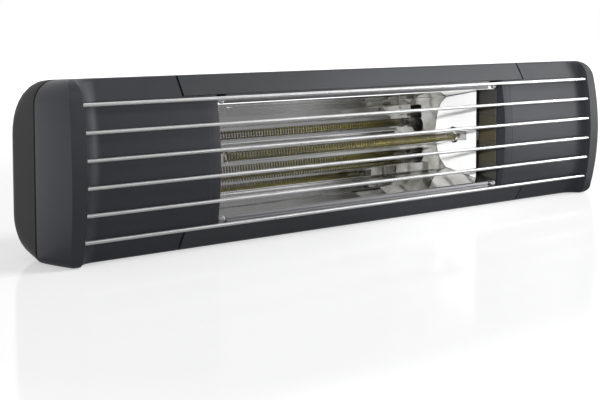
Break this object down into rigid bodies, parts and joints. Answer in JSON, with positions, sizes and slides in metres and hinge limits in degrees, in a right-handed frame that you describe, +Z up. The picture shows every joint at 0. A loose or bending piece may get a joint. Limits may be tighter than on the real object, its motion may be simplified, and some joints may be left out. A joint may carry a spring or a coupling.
{
  "type": "infrared tube heater",
  "caption": "Long infrared tube heater with a faceted mirror trough, quartz lamp, horizontal guard rods, swelling end covers and a tilting wall bracket.",
  "frame": {"origin": "on the flat underside, under the middle of the bounding box", "axes": "+X along the lamp to the right as seen from the front, -Y out of the front, +Z up"},
  "size_m": [0.625, 0.1366, 0.1371],
  "materials": {
    "body_paint": "satin anthracite",
    "cover_paint": "satin anthracite",
    "rear_paint": "fine matt anthracite",
    "seal_rubber": "matt",
    "mirror_sheet": "mirror polished",
    "end_plate": "bright satin",
    "dark_shield": "gloss black",
    "lip_aluminium": "ribbed satin",
    "quartz": "clear",
    "filament_wire": "heat-tinted wire",
    "lamp_ceramic": "unglazed",
    "bare_steel": "plain sheet",
    "rod_steel": "polished rod",
    "terminal_plastic": "matt",
    "lead_silicone": "matt",
    "gland_plastic": "matt",
    "zinc_steel": "zinc plated",
    "bracket_paint": "satin anthracite"
  },
  "bodies": {
    "heater": {"body_extrusion": "body_paint", "end_cover_left": "cover_paint", "end_cover_right": "cover_paint", "rear_cover_left": "rear_paint", "rear_cover_right": "rear_paint", "cover_seal_left": "seal_rubber", "cover_seal_right": "seal_rubber", "reflector": "mirror_sheet", "reflector_end_left": "end_plate", "reflector_end_right": "end_plate", "side_shield_left": "dark_shield", "side_shield_right": "dark_shield", "reflector_lip_top": "lip_aluminium", "reflector_lip_bottom": "lip_aluminium", "lamp_tube": "quartz", "lamp_filament": "filament_wire", "lamp_base_left": "lamp_ceramic", "lamp_base_right": "lamp_ceramic", "lamp_holder_left": "bare_steel", "lamp_holder_right": "bare_steel", "guard_rod_1": "rod_steel", "guard_rod_2": "rod_steel", "guard_rod_3": "rod_steel", "guard_rod_4": "rod_steel", "guard_rod_5": "rod_steel", "guard_rod_6": "rod_steel", "heat_shield": "bare_steel", "terminal_block": "terminal_plastic", "lamp_lead_left": "lead_silicone", "lamp_lead_right": "lead_silicone", "cable_gland": "gland_plastic", "window_screws": "zinc_steel", "cover_screws_left": "zinc_steel", "cover_screws_right": "zinc_steel", "pivot_lug_left": "bracket_paint", "pivot_lug_right": "bracket_paint", "lug_bolts": "zinc_steel", "pivot_bolts": "zinc_steel"},
    "bracket": {"wall_bracket": "bracket_paint"}
  },
  "joints": [
    {"name": "tilt", "type": "hinge", "parent": "heater", "child": "bracket", "pos_m": [0, 0.0473, 0.0685], "axis": [1, 0, 0], "range_deg": [-45, 45]}
  ]
}
